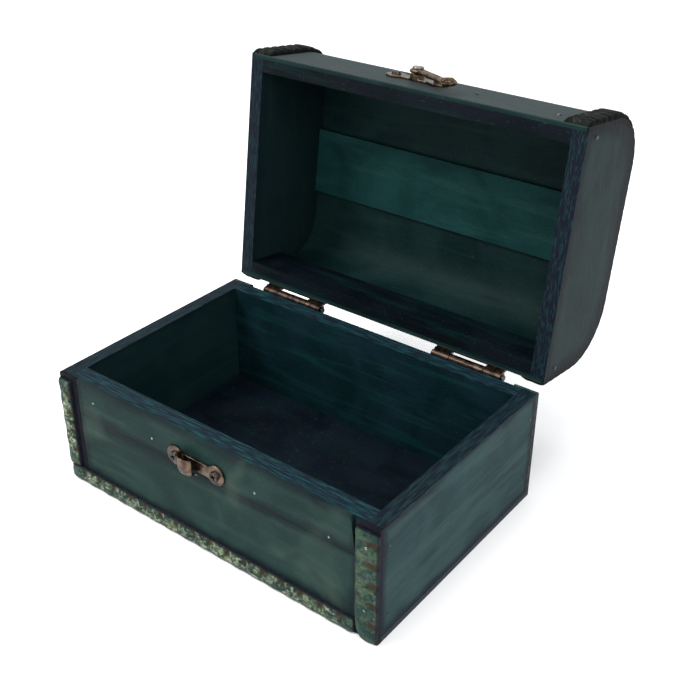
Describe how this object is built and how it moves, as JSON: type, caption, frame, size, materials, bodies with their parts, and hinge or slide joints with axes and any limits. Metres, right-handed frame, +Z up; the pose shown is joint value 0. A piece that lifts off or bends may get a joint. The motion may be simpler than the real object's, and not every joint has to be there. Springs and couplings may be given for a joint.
{
  "type": "treasure chest box",
  "caption": "Small wooden treasure chest box with a hinged barrel lid standing open, trim strips at the corners, a swing-arm latch and butt hinges.",
  "frame": {"origin": "centre of the bottom board's underside, midway between the outer faces of the front and back walls", "axes": "+X to the right seen from the front, +Y from the front to the back, +Z up"},
  "size_m": [0.161, 0.1752, 0.1601],
  "materials": {
    "bottom_wood": "stained thin board, satin",
    "base_wood": "stained slate blue, satin",
    "front_plank_wood": "stained grey green, satin",
    "lath_wood": "stained dark violet, satin",
    "base_trim_leather": "mottled green and gold imitation leather",
    "lid_wood": "stained slate blue, satin",
    "lid_cover_wood": "bent stained sheet, satin",
    "lid_rail_wood": "stained dark navy, satin",
    "batten_wood": "stained teal, satin",
    "strap_leather": "dark olive imitation leather",
    "brad_steel": "bright steel brads",
    "bronze_fitting": "antique bronze plating, worn bright at edges",
    "bronze_screw": "antique bronze plated steel"
  },
  "bodies": {
    "base": {"bottom_board": "bottom_wood", "left_wall": "base_wood", "right_wall": "base_wood", "front_wall": "base_wood", "back_wall": "base_wood", "wall_brads": "brad_steel", "front_plank_upper": "front_plank_wood", "front_plank_lower": "front_plank_wood", "plank_brads": "brad_steel", "front_lath_left": "lath_wood", "front_lath_right": "lath_wood", "front_lath_bottom": "lath_wood", "front_trim_left": "base_trim_leather", "front_trim_right": "base_trim_leather", "front_trim_bottom": "base_trim_leather", "trim_tacks": "brad_steel", "back_trim_left": "base_trim_leather", "back_trim_right": "base_trim_leather", "catch_plate": "bronze_fitting", "catch_screws": "bronze_screw", "hinge_leaf_base_left": "bronze_fitting", "hinge_leaf_base_right": "bronze_fitting", "hinge_pin_left": "bronze_screw", "hinge_pin_right": "bronze_screw", "hinge_base_brads": "bronze_screw"},
    "lid": {"lid_left_end": "lid_wood", "lid_right_end": "lid_wood", "lid_front_rail": "lid_rail_wood", "lid_back_rail": "lid_rail_wood", "lid_cover": "lid_cover_wood", "lid_batten": "batten_wood", "lid_brads": "brad_steel", "lid_strap_left": "strap_leather", "lid_strap_right": "strap_leather", "latch_plate": "bronze_fitting", "latch_screws": "bronze_screw", "latch_rivet": "bronze_fitting", "hinge_leaf_lid_left": "bronze_fitting", "hinge_leaf_lid_right": "bronze_fitting", "hinge_lid_brads": "bronze_screw"},
    "latch": {"latch_arm": "bronze_fitting"}
  },
  "joints": [
    {"name": "lid_hinge", "type": "hinge", "parent": "base", "child": "lid", "pos_m": [0, 0.0541, 0.0499], "axis": [1, 0, 0], "range_deg": [0, 97.9]},
    {"name": "latch_swing", "type": "hinge", "parent": "lid", "child": "latch", "pos_m": [-0.0042, 0.08541, 0.15151], "axis": [0, -0.1374, -0.9905], "range_deg": [-77, 61]}
  ]
}
